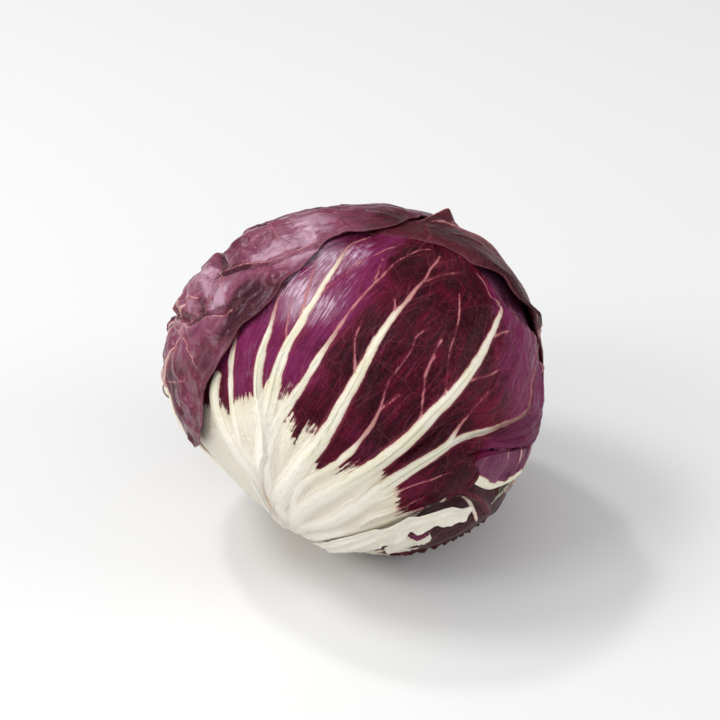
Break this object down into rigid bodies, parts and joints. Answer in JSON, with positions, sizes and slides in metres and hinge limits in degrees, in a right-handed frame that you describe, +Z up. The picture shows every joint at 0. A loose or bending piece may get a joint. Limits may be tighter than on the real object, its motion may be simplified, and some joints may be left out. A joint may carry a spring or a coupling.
{
  "type": "radicchio head",
  "caption": "Round head of red chicory lying on its side: a short stem core with thin wine-red leaves and pale ribs wrapped tightly around it, resting on a small flat spot.",
  "frame": {"origin": "on the surface under the head, below the middle of its bounding box", "axes": "+Z up from the surface the head lies on; +X to the right and +Y away from a viewer who sees the ribbed front leaf, with the stem end low at the front left"},
  "size_m": [0.122, 0.1182, 0.1108],
  "materials": {
    "wine_red_leaf": "satin",
    "plum_leaf": "satin",
    "dusty_rose_leaf": "satin",
    "dark_maroon_leaf": "satin",
    "cream_rib": "satin",
    "pale_inner_leaf": "satin",
    "stem_core": "matte"
  },
  "bodies": {
    "root": {"torn_leaf_base_upper": "cream_rib", "torn_leaf_base_lower": "cream_rib", "under_leaf": "dark_maroon_leaf", "left_wrapper_leaf": "dusty_rose_leaf", "crown_wrapper_leaf": "dark_maroon_leaf", "back_leaf": "wine_red_leaf", "front_leaf": "wine_red_leaf", "right_leaf": "plum_leaf", "lower_right_leaf": "dark_maroon_leaf", "inner_leaf_01": "wine_red_leaf", "inner_leaf_02": "wine_red_leaf", "inner_leaf_03": "wine_red_leaf", "inner_leaf_04": "wine_red_leaf", "inner_leaf_05": "wine_red_leaf", "inner_leaf_06": "pale_inner_leaf", "inner_leaf_07": "pale_inner_leaf", "inner_leaf_08": "pale_inner_leaf", "inner_leaf_09": "pale_inner_leaf", "inner_leaf_10": "pale_inner_leaf", "inner_leaf_11": "pale_inner_leaf", "inner_leaf_12": "pale_inner_leaf", "inner_leaf_13": "pale_inner_leaf", "inner_leaf_14": "pale_inner_leaf", "inner_leaf_15": "pale_inner_leaf", "inner_leaf_16": "pale_inner_leaf", "inner_leaf_17": "pale_inner_leaf", "inner_leaf_18": "pale_inner_leaf", "inner_leaf_19": "pale_inner_leaf", "inner_leaf_20": "pale_inner_leaf", "stem_core": "stem_core", "heart_bud": "pale_inner_leaf"}
  },
  "joints": []
}
